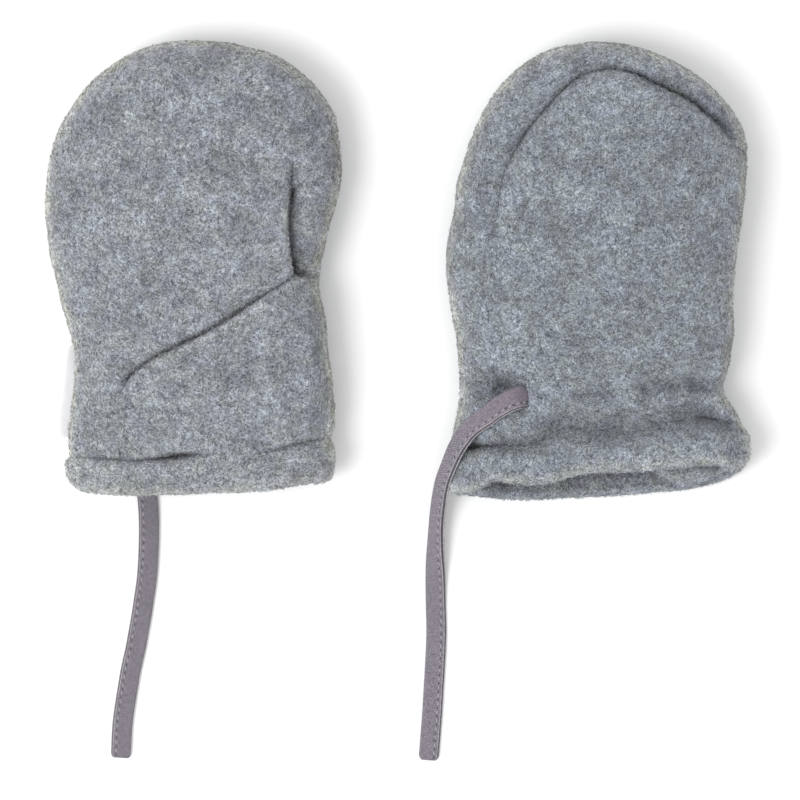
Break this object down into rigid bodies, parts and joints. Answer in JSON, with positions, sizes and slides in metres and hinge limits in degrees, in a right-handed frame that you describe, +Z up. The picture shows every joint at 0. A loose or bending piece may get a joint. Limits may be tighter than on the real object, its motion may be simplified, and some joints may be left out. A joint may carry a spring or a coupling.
{
  "type": "pair of baby mittens",
  "caption": "Pair of thumbless baby mittens in thick wool fleece, laid out palm up and back up, with a wrapped seam, an overlapping palm piece, a turned hem and a flat drawstring tape.",
  "frame": {"origin": "on the surface that the pair lies on, under the middle of the box round both mittens without their tapes", "axes": "+X across the pair, from the palm-up mitten to the back-up one; +Y from the cuffs to the finger ends; +Z up from the surface"},
  "size_m": [0.2008, 0.2059, 0.0245],
  "materials": {
    "left_fleece": "felted wool fleece, grey melange, matt and hairy",
    "right_fleece": "felted wool fleece, grey melange, matt and hairy",
    "woven_tape": "flat woven tape with a line of stitches along one edge",
    "white_label": "folded white ribbon, plain"
  },
  "bodies": {
    "root": {"left_back_panel": "left_fleece", "left_palm_panel": "left_fleece", "left_lower_palm": "left_fleece", "left_hem": "left_fleece", "left_drawstring": "woven_tape", "left_side_label": "white_label", "right_back_panel": "right_fleece", "right_palm_panel": "right_fleece", "right_lower_palm": "right_fleece", "right_hem": "right_fleece", "right_drawstring": "woven_tape"}
  },
  "joints": []
}
